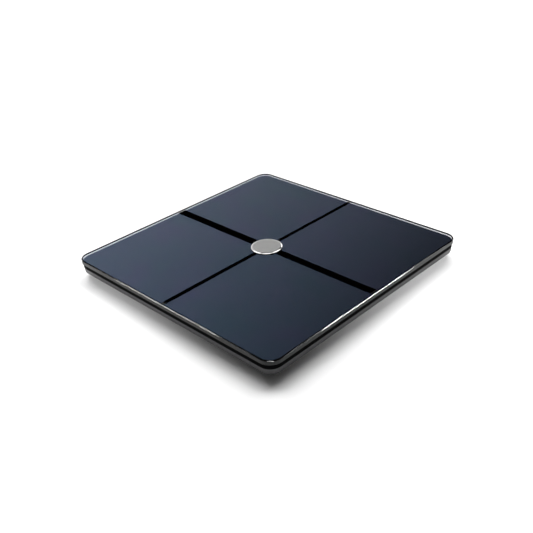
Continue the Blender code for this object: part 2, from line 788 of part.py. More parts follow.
# ---- Feet and load cells ------------------------------------------------------------------------
def build_feet():
    """A plastic cap with a snap pin through the load cell, and a rubber pad in its recess."""
    recess = 0.0035
    rim = 0.0020
    pin = CELL_HOLE - 0.0004
    snap = CELL_HOLE + 0.0004
    shoulder, shoulder_bottom = 0.006, 0.0048
    boss_top = CELL_BOTTOM - REST_GAP
    head = CELL_TOP + REST_GAP
    for corner, sx, sy in CORNERS:
        place = (sx * FOOT_PLACE, sy * FOOT_PLACE)
        cap = turned(
            f"foot_cap_{corner}",
            [
                (0, head + 0.001),
                (pin * 0.9, head + 0.001),
                (snap, head + 0.0004),
                (snap, head),
                (pin, head),
                (pin, boss_top),
                (shoulder, boss_top),
                (shoulder, shoulder_bottom),
                (FOOT_RADIUS - 0.0008, shoulder_bottom),
                (FOOT_RADIUS, 0.0040),
                (FOOT_RADIUS, rim),
                (FOOT_RADIUS - 0.0011, rim),
                (FOOT_RADIUS - 0.0011, recess),
                (0, recess),
            ],
            place,
            BLACK_PLASTIC,
            steps=20,
        )
        smooth(cap)
        pad_radius = FOOT_RADIUS - 0.0014
        pad = turned(
            f"foot_pad_{corner}",
            [
                (0, recess - REST_GAP),
                (pad_radius, recess - REST_GAP),
                (pad_radius, 0.0006),
                (pad_radius - 0.0006, 0),
                (0, 0),
            ],
            place,
            RUBBER,
            steps=20,
        )
        smooth(pad)


def build_load_cells():
    """Stamped steel bending plates: the foot's pin passes through a tongue set free by a U slot."""
    slot_half, tongue_half, root = 0.0110, 0.0092, 0.0085
    for corner, sx, sy in CORNERS:
        x, y = sx * FOOT_PLACE, sy * FOOT_PLACE
        u_slot = [
            (-slot_half, -sy * root),
            (-slot_half, sy * slot_half),
            (slot_half, sy * slot_half),
            (slot_half, -sy * root),
            (tongue_half, -sy * root),
            (tongue_half, sy * tongue_half),
            (-tongue_half, sy * tongue_half),
            (-tongue_half, -sy * root),
        ]
        plate(
            f"load_cell_{corner}",
            [
                rounded_rectangle(CELL_SIDE, CELL_SIDE, 0.002, (x, y), 3),
                [(x + px, y + py) for px, py in u_slot],
                circle(CELL_HOLE, (x, y), 16),
            ],
            CELL_BOTTOM,
            CELL_TOP,
            STEEL,
        )


# ---- Electronics --------------------------------------------------------------------------------
def build_main_board():
    holes = [circle(0.0014, place, 12) for place in board_posts()]
    plate(
        "main_board",
        [rounded_rectangle(BOARD_LENGTH, BOARD_WIDTH, 0.0015, (0, BOARD_Y), 3), *holes],
        BOARD_BOTTOM,
        BOARD_TOP,
        BOARD_GREEN,
    )
    z = BOARD_TOP + REST_GAP
    block("main_chip", (-0.006, 0.034, z), (0.006, 0.046, z + 0.0012), ((0.015, 0.015, 0.016), 0.4, 0.0))
    block("radio_module", (-0.024, 0.034, z), (-0.011, 0.050, z + 0.0019), STEEL, 0.0006, 2)
    block(
        "lead_connector",
        (-0.024, CONNECTOR_FRONT, z),
        (0.024, CONNECTOR_FRONT + 0.006, z + 0.0022),
        WHITE_PLASTIC,
    )


def build_unit_button():
    """A push key under the case whose stem enters the switch on the board's underside."""
    place = (BUTTON_X, BUTTON_Y)
    switch_top = BOARD_BOTTOM - REST_GAP
    switch_bottom = SHELL_FLOOR + REST_GAP + 0.0008 + BUTTON_TRAVEL + REST_GAP
    switch = block(
        "unit_switch",
        (BUTTON_X - 0.003, BUTTON_Y - 0.003, switch_bottom),
        (BUTTON_X + 0.003, BUTTON_Y + 0.003, switch_top),
        ((0.02, 0.02, 0.02), 0.4, 0.0),
    )
    stem_top = switch_bottom + 0.0006
    stem_hole_top = stem_top + BUTTON_TRAVEL + REST_GAP
    cut(switch, cylinder("stem_hole", 0.0018, switch_bottom - PAST, stem_hole_top, place, steps=16))
    flange_bottom = SHELL_FLOOR + REST_GAP
    flange_top = flange_bottom + 0.0008
    button = turned(
        "unit_button",
        [
            (0, stem_top),
            (0.0014, stem_top),
            (0.0014, flange_top),
            (BUTTON_RADIUS + 0.0012, flange_top),
            (BUTTON_RADIUS + 0.0012, flange_bottom),
            (BUTTON_RADIUS, flange_bottom),
            (BUTTON_RADIUS, SHELL_BOTTOM + 0.0002),
            (BUTTON_RADIUS - 0.0004, SHELL_BOTTOM - 0.0002),
            (0, SHELL_BOTTOM - 0.0002),
        ],
        place,
        GREY_PLASTIC,
        steps=20,
    )
    smooth(button)


def hexagon(x, y, half_length, half_thickness, upright):
    """A slim six-sided slot with pointed ends."""
    shoulder, side = half_length * 0.75, half_thickness * 0.75
    lower = [(-half_length, 0), (-shoulder, -side), (shoulder, -side)]
    points = lower + [(-px, -py) for px, py in lower]
    if upright:
        points = [(-py, px) for px, py in points]
    return [(x + px, y + py) for px, py in points]


def segment_outlines(centre_x):
    """The seven slots of one digit."""
    bar, thin, half_digit = 0.0034, 0.0010, 0.0040
    level = [hexagon(centre_x, DISPLAY_Y + 2 * up * half_digit, bar, thin, False) for up in (-1, 0, 1)]
    upright = [
        hexagon(centre_x + side * half_digit, DISPLAY_Y + up * half_digit, bar, thin, True)
        for side in (-1, 1)
        for up in (-1, 1)
    ]
    return level + upright


def build_display():
    """LED board, a reflector with seven-segment slots and a diffusing film under the glass."""
    board_top = DISPLAY_BOARD_BOTTOM + DISPLAY_BOARD_THICKNESS
    reflector_bottom = board_top + REST_GAP
    reflector_top = FRAME_TOP
    plate(
        "display_board",
        [rounded_rectangle(DISPLAY_LENGTH, DISPLAY_WIDTH, 0.001, (0, DISPLAY_Y), 2)],
        DISPLAY_BOARD_BOTTOM,
        board_top,
        BOARD_GREEN,
    )
    slots = []
    for digit in range(DISPLAY_DIGITS):
        slots += segment_outlines((digit - (DISPLAY_DIGITS - 1) / 2) * DIGIT_PITCH)
    plate(
        "display_reflector",
        [rectangle(DISPLAY_LENGTH, DISPLAY_WIDTH, (0, DISPLAY_Y)), *slots],
        reflector_bottom,
        reflector_top,
        WHITE_PLASTIC,
    )
    film_bottom = reflector_top + FILM_GAP
    plate(
        "display_diffuser",
        [rectangle(DISPLAY_LENGTH, DISPLAY_WIDTH, (0, DISPLAY_Y))],
        film_bottom,
        film_bottom + 2 * FILM,
        ((0.7, 0.7, 0.7), 0.6, 0.0),
    )


def build_display_ribbon():
    """A flat cable that arches from the main board's rear edge to the display board's front edge."""
    start = BOARD_Y + BOARD_WIDTH / 2 - 0.004
    end = DISPLAY_Y - DISPLAY_WIDTH / 2 - REST_GAP
    low, crown = BOARD_TOP + REST_GAP + FILM, 0.0088
    path = [
        (start, low),
        (start + 0.005, low),
        (start + 0.008, low - 0.0004),
        (start + 0.011, crown + 0.0004),
        (start + 0.014, crown),
        (end - 0.005, crown),
        (end - 0.002, crown + 0.0012),
        (end, DISPLAY_BOARD_BOTTOM + DISPLAY_BOARD_THICKNESS / 2),
    ]
    strip("display_ribbon", path, 0.010, 2 * FILM, WHITE_PLASTIC, math.pi / 2)


def build_batteries():
    """Three AAA cells laid alternately, axes along X, the positive nub at the first one's right end."""
    for index in range(CELLS):
        towards = 1 if index % 2 == 0 else -1
        can = BATTERY_LENGTH - BATTERY_NUB
        cell = turned(
            f"battery_{index + 1}",
            [
                (0, BATTERY_LENGTH),
                (0.0019, BATTERY_LENGTH),
                (0.0019, can),
                (BATTERY_RADIUS - 0.0004, can),
                (BATTERY_RADIUS, can - 0.0004),
                (BATTERY_RADIUS, 0.0004),
                (BATTERY_RADIUS - 0.0004, 0),
                (0, 0),
            ],
            (0, 0),
            ((0.30, 0.32, 0.34), 0.35, 0.8),
            steps=20,
        )
        nub_x = BAY_LENGTH / 2 - CONTACT_PLATE - 2 * REST_GAP
        cell.rotation_euler.y = towards * math.pi / 2
        cell.location = (towards * (nub_x - BATTERY_LENGTH), cell_y(index), BATTERY_Z)
        smooth(cell)


def contact_plate(name, wall, indices, finish):
    """An upright plate on the left (-1) or right (1) end wall, across the cells at indices."""
    outer = wall * (BAY_LENGTH / 2 - REST_GAP)
    inner = wall * (BAY_LENGTH / 2 - REST_GAP - CONTACT_PLATE)
    ys = [cell_y(i) for i in indices]
    return block(
        name,
        (min(outer, inner), min(ys) - CONTACT_HALF, BATTERY_Z - CONTACT_HALF),
        (max(outer, inner), max(ys) + CONTACT_HALF, BATTERY_Z + CONTACT_HALF),
        finish,
    )


def contact_spring(name, wall, index):
    """A conical spring that stands on the plate and meets the cell's flat end."""
    wire_radius, turns, steps = BATTERY_SPRING_WIRE, 3, 10
    foot = BAY_LENGTH / 2 - REST_GAP - CONTACT_PLATE + wire_radius * 0.4
    cell_end = BAY_LENGTH / 2 - CONTACT_PLATE - 2 * REST_GAP - BATTERY_LENGTH
    tip = -cell_end + REST_GAP + wire_radius
    points = []
    for i in range(turns * steps + 1):
        share = i / (turns * steps)
        radius = 0.0036 - 0.0018 * share
        angle = 2 * math.pi * turns * share
        climb = max(0.0, share - 1 / turns / 4)
        x = foot + (tip - foot) * climb / (1 - 1 / turns / 4)
        y, z = cell_y(index) + radius * math.cos(angle), BATTERY_Z + radius * math.sin(angle)
        points.append((wall * x, y, z))
    return curve_to_mesh(hidden_wire(name, points, wire_radius))


def hidden_wire(name, points, radius):
    """A wire among the cutters, to be joined to a part."""
    obj = wire(name, points, radius, STEEL)
    PARTS.objects.unlink(obj)
    CUTTERS.objects.link(obj)
    obj.hide_render = True
    obj.display_type = "WIRE"
    return obj


def build_battery_contacts():
    contact_plate("contact_positive", 1, [2], STEEL)
    negative = contact_plate("contact_negative", -1, [0], STEEL)
    join(negative, contact_spring("spring_0", -1, 0))
    right = contact_plate("contact_bridge_right", 1, [0, 1], STEEL)
    join(right, contact_spring("spring_1", 1, 1))
    left = contact_plate("contact_bridge_left", -1, [1, 2], STEEL)
    join(left, contact_spring("spring_2", -1, 2))


def hang_on_hinge(obj, name, place):
    """Parents obj, where it is, to an empty on its hinge's axis."""
    hinge = bpy.data.objects.new(name, None)
    PARTS.objects.link(hinge)
    hinge.location = place
    obj.parent = hinge
    obj.location -= Vector(place)


def build_battery_door():
    """A flush lid, hooked by two tabs at its front edge and latched at its rear edge."""
    x, y = DOOR_LENGTH / 2, DOOR_WIDTH / 2
    top = SHELL_BOTTOM + DOOR_THICKNESS
    door = block("battery_door", (-x, BAY_Y - y, SHELL_BOTTOM), (x, BAY_Y + y, top), GREY_PLASTIC)
    for index, sign in enumerate((-1, 1)):
        middle, half = sign * DOOR_TAB_X, DOOR_TAB_WIDTH / 2
        join(
            door,
            block(
                f"door_tab_{index}",
                (middle - half, BAY_Y - y - 0.0016, top - 0.0006),
                (middle + half, BAY_Y - y + OVERLAP, top - 0.0001),
            ),
        )
    rear = BAY_Y + BAY_WIDTH / 2
    join(
        door,
        block("door_latch", (-0.005, rear - 0.0014, top - OVERLAP), (0.005, rear - 0.0002, top + 0.0030)),
        block("door_barb", (-0.005, rear - OVERLAP, top + 0.0018), (0.005, rear + 0.0008, top + 0.0030)),
    )
    notch_depth, notch_place = 0.0007, (0, BAY_Y + y + 0.001)
    notch_top = SHELL_BOTTOM + notch_depth
    cut(door, cylinder("finger_notch", 0.007, SHELL_BOTTOM - PAST, notch_top, notch_place))
    hang_on_hinge(door, "door_hinge", (0, BAY_Y - y, SHELL_BOTTOM))


def build_leads():
    """Load-cell leads along the case floor to the board's connector, and the two battery leads."""
    start_x = FOOT_PLACE - CELL_SIDE / 2 - 0.0004
    start_z = CELL_BOTTOM + CELL_THICKNESS / 2
    end_y = CONNECTOR_FRONT - REST_GAP
    black = ((0.010, 0.010, 0.010), 0.5, 0.0)
    red = ((0.45, 0.02, 0.02), 0.5, 0.0)
    routes = {
        "front": [
            (start_x, -0.112, start_z),
            (0.088, -0.110, start_z),
            (0.076, -0.102, FLOOR_LEAD_Z),
            (0.058, -0.080, FLOOR_LEAD_Z),
            (0.044, -0.045, FLOOR_LEAD_Z),
            (0.034, -0.012, FLOOR_LEAD_Z),
            (0.010, 0.001, 0.0080),
            (0.004, 0.016, LEAD_Z),
            (0.004, end_y, LEAD_Z),
        ],
        "rear": [
            (start_x, 0.112, start_z),
            (0.088, 0.110, start_z),
            (0.078, 0.100, FLOOR_LEAD_Z),
            (0.065, 0.072, FLOOR_LEAD_Z),
            (0.050, 0.036, FLOOR_LEAD_Z),
            (0.030, 0.009, FLOOR_LEAD_Z),
            (0.014, 0.008, 0.0082),
            (0.012, 0.016, LEAD_Z),
            (0.012, end_y, LEAD_Z),
        ],
    }
    for end, route in routes.items():
        for side, sign in LEFT_RIGHT:
            mirrored = [(sign * x, y, z) for x, y, z in route]
            wire(f"load_cell_lead_{end}_{side}", smooth_route(mirrored, 0.006), LEAD_RADIUS, black)
    colours = {"negative": black, "positive": red}
    outside = BAY_LENGTH / 2 + BAY_WALL + 0.004
    for name, (wall, y) in battery_lead_exits().items():
        route = [
            (wall * BAY_LENGTH / 2, y, LEAD_EXIT_Z),
            (wall * outside, y, LEAD_EXIT_Z),
            (wall * (outside + 0.001), y + 0.010, LEAD_EXIT_Z),
            (wall * (outside - 0.001), -0.008, LEAD_EXIT_Z),
            (wall * 0.026, 0.006, LEAD_EXIT_Z),
            (wall * 0.0205, 0.014, LEAD_Z),
            (wall * 0.020, end_y, LEAD_Z),
        ]
        wire(f"battery_lead_{name}", smooth_route(route, 0.005), LEAD_RADIUS, colours[name])


def main():
    build_glass()
    build_films()
    build_disc()
    build_electrode_contacts()
    build_contact_board()
    build_glass_tape()
    build_top_frame()
    build_bottom_shell()
    build_screws()
    build_feet()
    build_load_cells()
    build_main_board()
    build_unit_button()
    build_display()
    build_display_ribbon()
    build_batteries()
    build_battery_contacts()
    build_battery_door()
    build_leads()


main()
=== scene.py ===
import math

import bmesh
import bpy
from mathutils import Matrix, Vector


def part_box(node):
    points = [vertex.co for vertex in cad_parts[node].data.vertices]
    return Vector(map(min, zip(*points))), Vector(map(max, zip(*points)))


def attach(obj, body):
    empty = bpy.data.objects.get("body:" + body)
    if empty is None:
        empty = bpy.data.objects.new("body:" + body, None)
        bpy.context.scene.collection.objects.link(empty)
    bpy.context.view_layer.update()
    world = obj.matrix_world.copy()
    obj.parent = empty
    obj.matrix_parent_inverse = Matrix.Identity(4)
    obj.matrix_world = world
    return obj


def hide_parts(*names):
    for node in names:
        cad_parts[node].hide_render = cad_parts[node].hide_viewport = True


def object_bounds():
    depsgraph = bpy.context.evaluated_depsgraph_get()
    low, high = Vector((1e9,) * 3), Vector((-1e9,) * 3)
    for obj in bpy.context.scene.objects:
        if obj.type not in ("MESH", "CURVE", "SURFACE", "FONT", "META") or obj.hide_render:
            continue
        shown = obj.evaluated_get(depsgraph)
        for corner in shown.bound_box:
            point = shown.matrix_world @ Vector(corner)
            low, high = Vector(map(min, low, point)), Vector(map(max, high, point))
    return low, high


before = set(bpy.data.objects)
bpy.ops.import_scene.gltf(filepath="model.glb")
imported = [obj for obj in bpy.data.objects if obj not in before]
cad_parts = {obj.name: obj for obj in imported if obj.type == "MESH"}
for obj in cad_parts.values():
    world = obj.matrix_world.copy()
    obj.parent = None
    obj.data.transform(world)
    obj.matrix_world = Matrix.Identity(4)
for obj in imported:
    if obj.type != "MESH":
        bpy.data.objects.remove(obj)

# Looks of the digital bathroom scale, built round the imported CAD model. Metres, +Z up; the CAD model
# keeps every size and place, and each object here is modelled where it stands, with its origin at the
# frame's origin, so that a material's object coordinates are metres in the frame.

CAD_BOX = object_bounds()
CASE = "scale_body"
CORNERS = [f"{end}_{side}" for end in ("front", "rear") for side in ("left", "right")]

# ---- Places read from the CAD model -------------------------------------------------------------
GLASS_LOW, GLASS_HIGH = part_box("glass_platform")
GLASS_HALF = GLASS_HIGH.x
GLASS_TOP = GLASS_HIGH.z
GLASS_BOTTOM = GLASS_LOW.z
GLASS_CORNER = 0.014
GLASS_ARRIS = 0.0005
ARRIS_STEPS = 3
GLASS_HOLE = 0.007
PRINT_MARGIN = 0.0026  # clear glass round the black print on the underside

DISC_LOW, DISC_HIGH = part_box("centre_disc")
DISC_RADIUS = DISC_HIGH.x
DISC_BEVEL = 0.0022
DISC_TILT = 24  # degrees, the slope of the bevel
DISC_GROOVE = 0.00010

FILM_LOW, FILM_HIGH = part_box("electrode_rear_right")
LINE_HALVES = (FILM_LOW.y, FILM_LOW.x * 1.13, FILM_LOW.y * 1.17, FILM_LOW.x)  # right, rear, left, front
LINE_HOLE = 0.0088
LINE_REACH = GLASS_HALF - 0.0045
# Black ring just inside the glass's edge: a fine print, widened along the rear and right edges as painted
# shade.
PRINT_AND_SHADE_RIM_OUTER = 0.0007  # from the glass's edge
PRINT_AND_SHADE_RIM_INNER = 0.0022
PAINTED_SHADE_SHIFT = 0.0007  # its inner outline sits a little towards the front left
INK_GAP = 0.00001  # between the glass and the lines, and over the films

# ---- Smoothing of the CAD meshes ----------------------------------------------------------------
WELD = 0.000001
SMOOTH_ANGLE = 32  # degrees, shallower edges are shaded smooth
REPLACED_NODES = ("glass_platform", "centre_disc")

# Camera: the photograph's view, as angles round the middle of the glass's top face
LENS = 50.0
SENSOR = 36.0
CAMERA_AZIMUTH = math.radians(-44.0913)
CAMERA_ELEVATION = math.radians(30.1562)
CAMERA_ROLL = math.radians(-3.628)
CAMERA_DISTANCE = 0.8202822
CAMERA_RIGHT = -0.0002703
CAMERA_UP = -0.0213771

# ---- Light --------------------------------------------------------------------------------------
WORLD_LOW = 0.12
WORLD_HIGH = 1.1
WORLD_FRONT = 0.03  # share of the glow left on the camera's side
WORLD_SLOPE = (-0.759, 0.759, -1.05)  # how the glow grows with direction
WORLD_BASE = 0.858
KEY_AZIMUTHS = (20, 70)
KEY_ELEVATION = 46
KEY_STRENGTH = 1.95
KEY_ANGLE = 30
SKY_STRENGTH = 1.2
SKY_ANGLE = 90
CASE_FILL_STRENGTH = 1.3
CASE_FILL_ANGLE = 70
SUN_DISTANCE = 3.0
LAMP_DISTANCE = 4.0
STRIP_WIDTH = 9  # degrees
EDGE_STRIP_WIDTH = 12
CORNER_SPREAD = 0.26
CORNER_RADIANCE = 6.5


# ---- Node helpers -------------------------------------------------------------------------------
class Material:
    """A Principled material and short calls for the nodes that drive it."""

    def __init__(self, name, colour, roughness, metallic=0.0, **constants):
        self.material = bpy.data.materials.new(name)
        self.material.use_nodes = True
        self.tree = self.material.node_tree
        self.shader = self.tree.nodes["Principled BSDF"]
        self.set(self.shader, "Base Color", (*colour, 1.0))
        self.set(self.shader, "Roughness", roughness)
        self.set(self.shader, "Metallic", metallic)
        for socket, value in constants.items():
            self.set(self.shader, socket.replace("_", " "), value)
        self.place = self.tree.nodes.new("ShaderNodeTexCoord").outputs["Object"]

    def set(self, node, socket, value):
        """Sets a socket's own value, or links it when the value is another node's output."""
        if isinstance(value, bpy.types.NodeSocket):
            self.tree.links.new(value, node.inputs[socket])
        else:
            node.inputs[socket].default_value = value

    def node(self, kind, **inputs):
        made = self.tree.nodes.new(kind)
        for socket, value in inputs.items():
            self.set(made, socket.replace("_", " "), value)
        return made

    def stretched(self, scale):
        """Object coordinates scaled by axis, to draw a texture out along one of them."""
        mapping = self.node("ShaderNodeMapping", Vector=self.place)
        mapping.inputs["Scale"].default_value = scale
        return mapping.outputs["Vector"]

    def noise(self, size, detail=2.0, roughness=0.5, vector=None):
        """Noise whose blobs are about size metres across."""
        made = self.node(
            "ShaderNodeTexNoise",
            Vector=vector or self.place,
            Scale=1.0 / size,
            Detail=detail,
            Roughness=roughness,
        )
        return made.outputs["Fac"]

    def cells(self, size, feature="F1"):
        made = self.node("ShaderNodeTexVoronoi", Vector=self.place, Scale=1.0 / size)
        made.feature = feature
        return made.outputs["Distance"]

    def ramp(self, value, low, high, start=0.3, end=0.7):
        """Maps value from start..end to low..high."""
        made = self.node("ShaderNodeMapRange", Value=value)
        for socket, number in (("From Min", start), ("From Max", end), ("To Min", low), ("To Max", high)):
            made.inputs[socket].default_value = number
        return made.outputs["Result"]

    def math(self, operation, first, second=0.0):
        made = self.tree.nodes.new("ShaderNodeMath")
        made.operation = operation
        for index, value in enumerate((first, second)):
            self.set(made, index, value)
        return made.outputs[0]

    def mix(self, factor, first, second):
        """Mixes two colours."""
        made = self.tree.nodes.new("ShaderNodeMix")
        made.data_type = "RGBA"
        self.set(made, 0, factor)
        for index, colour in ((6, first), (7, second)):
            self.set(made, index, colour if isinstance(colour, bpy.types.NodeSocket) else (*colour, 1.0))
        return made.outputs[2]

    def colour(self, socket):
        self.set(self.shader, "Base Color", socket)

    def roughness(self, socket):
        self.set(self.shader, "Roughness", socket)

    def bump(self, height, distance, strength=1.0):
        """Adds relief of height times distance, on top of any relief added before."""
        normal = self.shader.inputs["Normal"]
        below = normal.links[0].from_socket if normal.is_linked else None
        made = self.node("ShaderNodeBump", Height=height, Distance=distance, Strength=strength)
        if below:
            self.set(made, "Normal", below)
        self.set(self.shader, "Normal", made.outputs["Normal"])


# ---- Materials ----------------------------------------------------------------------------------
def clear_glass():
    """Tempered glass, polished; its faces hardly reflect, as with a low-glare finish."""
    glass = Material("clear_glass", (0.68, 0.69, 0.70), 0.02, IOR=1.5, Transmission_Weight=1.0)
    glass.set(glass.shader, "Specular IOR Level", 0.0)
    glass.roughness(glass.ramp(glass.noise(0.02, 4.0), 0.012, 0.03))
    glass.bump(glass.noise(0.03, 2.0), 0.000002, 0.3)
    return glass.material


def edge_glass():
    """The same glass where its edges are ground and polished."""
    glass = Material("edge_glass", (0.62, 0.64, 0.64), 0.05, IOR=1.5, Transmission_Weight=1.0)
    glass.set(glass.shader, "Specular IOR Level", 0.25)
    glass.roughness(glass.ramp(glass.noise(0.004, 3.0), 0.03, 0.08))
    glass.bump(glass.noise(0.006, 2.0), 0.00001, 0.1)
    return glass.material


def side_glass():
    """The glass's upright side, which looks dark because the print shows through it."""
    side = Material("side_glass", (0.010, 0.011, 0.011), 0.08, Specular_IOR_Level=0.28)
    streaks = side.noise(0.0008, 3.0, vector=side.stretched((1.0, 1.0, 0.15)))
    side.roughness(side.ramp(streaks, 0.06, 0.14))
    side.bump(side.noise(0.006, 2.0), 0.00004, 0.3)
    return side.material


def black_print():
    """Black ceramic print on the underside of the glass."""
    ink = Material("black_print", (0.002, 0.002, 0.002), 0.6, Specular_IOR_Level=0.0)
    ink.colour(ink.mix(ink.noise(0.0012, 3.0), (0.001, 0.001, 0.0012), (0.003, 0.003, 0.0035)))
    ink.roughness(ink.ramp(ink.noise(0.002, 3.0), 0.5, 0.7))
    ink.bump(ink.noise(0.0004, 2.0), 0.000004, 0.4)
    return ink.material


def line_print():
    """Matt black lines between the electrodes."""
    ink = Material("line_print", (0.001, 0.001, 0.001), 0.8, Specular_IOR_Level=0.0)
    ink.colour(ink.mix(ink.noise(0.0008, 3.0), (0.0003, 0.0003, 0.0004), (0.0009, 0.0009, 0.001)))
    ink.roughness(ink.ramp(ink.noise(0.001, 3.0), 0.72, 0.88))
    ink.bump(ink.noise(0.0003, 2.0), 0.000004, 0.4)
    return ink.material


def electrode_film():
    """A thin see-through coating with a dark blue reflection that shifts a little in hue."""
    film = Material("electrode_film", (0.26, 0.41, 0.72), 0.05, 1.0, Alpha=0.13)
    drift = film.ramp(film.noise(0.045, 2.0), 0.0, 1.0)
    film.colour(film.mix(drift, (0.22, 0.42, 0.68), (0.30, 0.39, 0.76)))
    film.roughness(film.ramp(film.noise(0.012, 5.0, 0.6), 0.04, 0.07))
    film.bump(film.noise(0.03, 2.0), 0.000002, 0.3)
    return film.material


def satin_metal():
    """The disc's face: fine satin, brushed one way."""
    metal = Material("satin_metal", (0.75, 0.75, 0.74), 0.30, 1.0)
    grain = metal.noise(0.00012, 3.0, vector=metal.stretched((1.0, 0.06, 1.0)))
    metal.colour(metal.mix(grain, (0.68, 0.68, 0.67), (0.82, 0.82, 0.81)))
    metal.roughness(metal.ramp(grain, 0.26, 0.38))
    metal.bump(grain, 0.000004, 0.5)
    return metal.material


def polished_metal():
    """The disc's bevel: polished, with faint wear."""
    metal = Material("polished_metal", (0.78, 0.78, 0.77), 0.10, 1.0)
    wear = metal.noise(0.0015, 5.0, 0.6)
    metal.roughness(metal.ramp(wear, 0.07, 0.16))
    metal.bump(wear, 0.000001, 0.3)
    return metal.material


def moulded_plastic(name, dark, light, low, high, gloss=0.5, grain=0.00045, depth=0.00003):
    """Plastic with a fine spark-eroded texture."""
    plastic = Material(name, dark, low, Specular_IOR_Level=gloss)
    spark = plastic.noise(grain, 2.0, 0.6)
    cloud = plastic.noise(0.02, 3.0)
    plastic.colour(plastic.mix(plastic.math("MULTIPLY", spark, cloud), dark, light))
    plastic.roughness(plastic.ramp(spark, low, high))
    plastic.bump(spark, depth, 0.35)
    return plastic.material


def rubber():
    """Matt rubber with moulded specks and a little dust."""
    skin = Material("black_rubber", (0.02, 0.02, 0.02), 0.8, Specular_IOR_Level=0.3)
    dust = skin.ramp(skin.noise(0.003, 5.0, 0.65), 0.0, 1.0, 0.45, 0.75)
    skin.colour(skin.mix(dust, (0.016, 0.016, 0.016), (0.045, 0.044, 0.042)))
    skin.roughness(skin.ramp(dust, 0.7, 0.95, 0.0, 1.0))
    skin.bump(skin.noise(0.0005, 2.0), 0.00004, 0.4)
    return skin.material


def foam_tape():
    """Black foam with open pores."""
    foam = Material("foam_tape", (0.008, 0.008, 0.008), 0.95, Specular_IOR_Level=0.1)
    pores = foam.cells(0.0006)
    foam.colour(foam.mix(pores, (0.003, 0.003, 0.003), (0.014, 0.014, 0.014)))
    foam.roughness(foam.ramp(pores, 0.88, 1.0, 0.0, 1.0))
    foam.bump(pores, 0.00015, 0.8)
    return foam.material


def steel(name="steel", bright=(0.62, 0.62, 0.62), dull=(0.42, 0.42, 0.43), low=0.22, high=0.42):
    """Rolled or plated steel with drawn-out grain."""
    metal = Material(name, bright, low, 1.0)
    grain = metal.noise(0.0006, 4.0, 0.6, metal.stretched((0.15, 1.0, 1.0)))
    metal.colour(metal.mix(grain, dull, bright))
    metal.roughness(metal.ramp(grain, low, high))
    metal.bump(grain, 0.00001, 0.3)
    return metal.material


def circuit_board():
    """Green solder mask with copper traces under it and tinned spots."""
    board = Material("circuit_board", (0.01, 0.12, 0.05), 0.35)
    traces = board.node(
        "ShaderNodeTexBrick",
        Vector=board.place,
        Scale=260.0,
        Mortar_Size=0.03,
        Mortar_Smooth=0.2,
        Brick_Width=1.7,
    )
    trace = traces.outputs["Fac"]
    green = board.mix(trace, (0.008, 0.085, 0.035), (0.02, 0.17, 0.07))
    spots = board.ramp(board.cells(0.0035), 1.0, 0.0, 0.10, 0.13)
    board.colour(board.mix(spots, green, (0.55, 0.55, 0.53)))
    board.roughness(board.ramp(board.noise(0.001, 3.0), 0.28, 0.45))
    board.bump(trace, 0.00003, 0.5)
    return board.material


def chip_plastic():
    epoxy = Material("chip_plastic", (0.02, 0.02, 0.02), 0.45)
    grain = epoxy.noise(0.0002, 3.0)
    epoxy.colour(epoxy.mix(grain, (0.012, 0.012, 0.013), (0.03, 0.03, 0.031)))
    epoxy.roughness(epoxy.ramp(grain, 0.38, 0.6))
    epoxy.bump(grain, 0.00001, 0.4)
    return epoxy.material


def white_plastic():
    return moulded_plastic("white_plastic", (0.66, 0.66, 0.62), (0.80, 0.80, 0.77), 0.35, 0.5)


def battery_can():
    """A wrapped cell: a dark sleeve with a copper-coloured band at one end and bare metal ends."""
    can = Material("battery_can", (0.05, 0.05, 0.055), 0.3)
    across = can.tree.nodes.new("ShaderNodeSeparateXYZ")
    can.set(across, 0, can.place)
    band = can.ramp(can.math("ABSOLUTE", across.outputs["X"]), 0.0, 1.0, 0.0095, 0.0098)
    sleeve = can.mix(band, (0.035, 0.037, 0.042), (0.42, 0.20, 0.08))
    scuffs = can.ramp(can.noise(0.004, 5.0, 0.65), 0.0, 0.35, 0.55, 0.75)
    can.colour(can.mix(scuffs, sleeve, (0.30, 0.28, 0.25)))
    can.roughness(can.ramp(can.noise(0.001, 3.0), 0.22, 0.36))
    can.bump(can.noise(0.0012, 2.0), 0.00001, 0.3)
    return can.material


def insulation(name, dark, light):
    """Soft cable insulation."""
    sleeve = Material(name, dark, 0.5)
    cloud = sleeve.noise(0.0015, 3.0)
    sleeve.colour(sleeve.mix(cloud, dark, light))
    sleeve.roughness(sleeve.ramp(cloud, 0.42, 0.62))
    sleeve.bump(cloud, 0.00002, 0.3)
    return sleeve.material


def ribbon():
    """White flat cable with its conductors showing as fine grey stripes."""
    cable = Material("ribbon_cable", (0.7, 0.7, 0.68), 0.4)
    stripes = cable.tree.nodes.new("ShaderNodeTexWave")
    stripes.bands_direction = "X"
    cable.set(stripes, "Vector", cable.place)
    stripes.inputs["Scale"].default_value = 320.0
    stripe = stripes.outputs["Fac"]
    cable.colour(cable.mix(stripe, (0.72, 0.72, 0.70), (0.42, 0.42, 0.42)))
    cable.roughness(cable.ramp(stripe, 0.35, 0.5))
    cable.bump(stripe, 0.00003, 0.5)
    return cable.material


def diffuser():
    film = Material("diffuser_film", (0.75, 0.75, 0.75), 0.7)
    film.colour(film.mix(film.noise(0.0004, 2.0), (0.68, 0.68, 0.67), (0.80, 0.80, 0.79)))
    film.roughness(film.ramp(film.noise(0.0005, 2.0), 0.62, 0.8))
    film.bump(film.noise(0.0002, 2.0), 0.00001, 0.5)
    return film.material


# ---- Mesh helpers -------------------------------------------------------------------------------
def rounded_ring(half, radius, z, steps=20):
    """Points round a square with round corners, counter-clockwise, at height z."""
    points = []
    inner = half - radius
    for corner, (sx, sy) in enumerate(((1, 1), (-1, 1), (-1, -1), (1, -1))):
        for step in range(steps + 1):
            angle = math.radians(90 * corner + 90 * step / steps)
            x = sx * inner + radius * math.cos(angle)
            y = sy * inner + radius * math.sin(angle)
            points.append(Vector((x, y, z)))
    return points


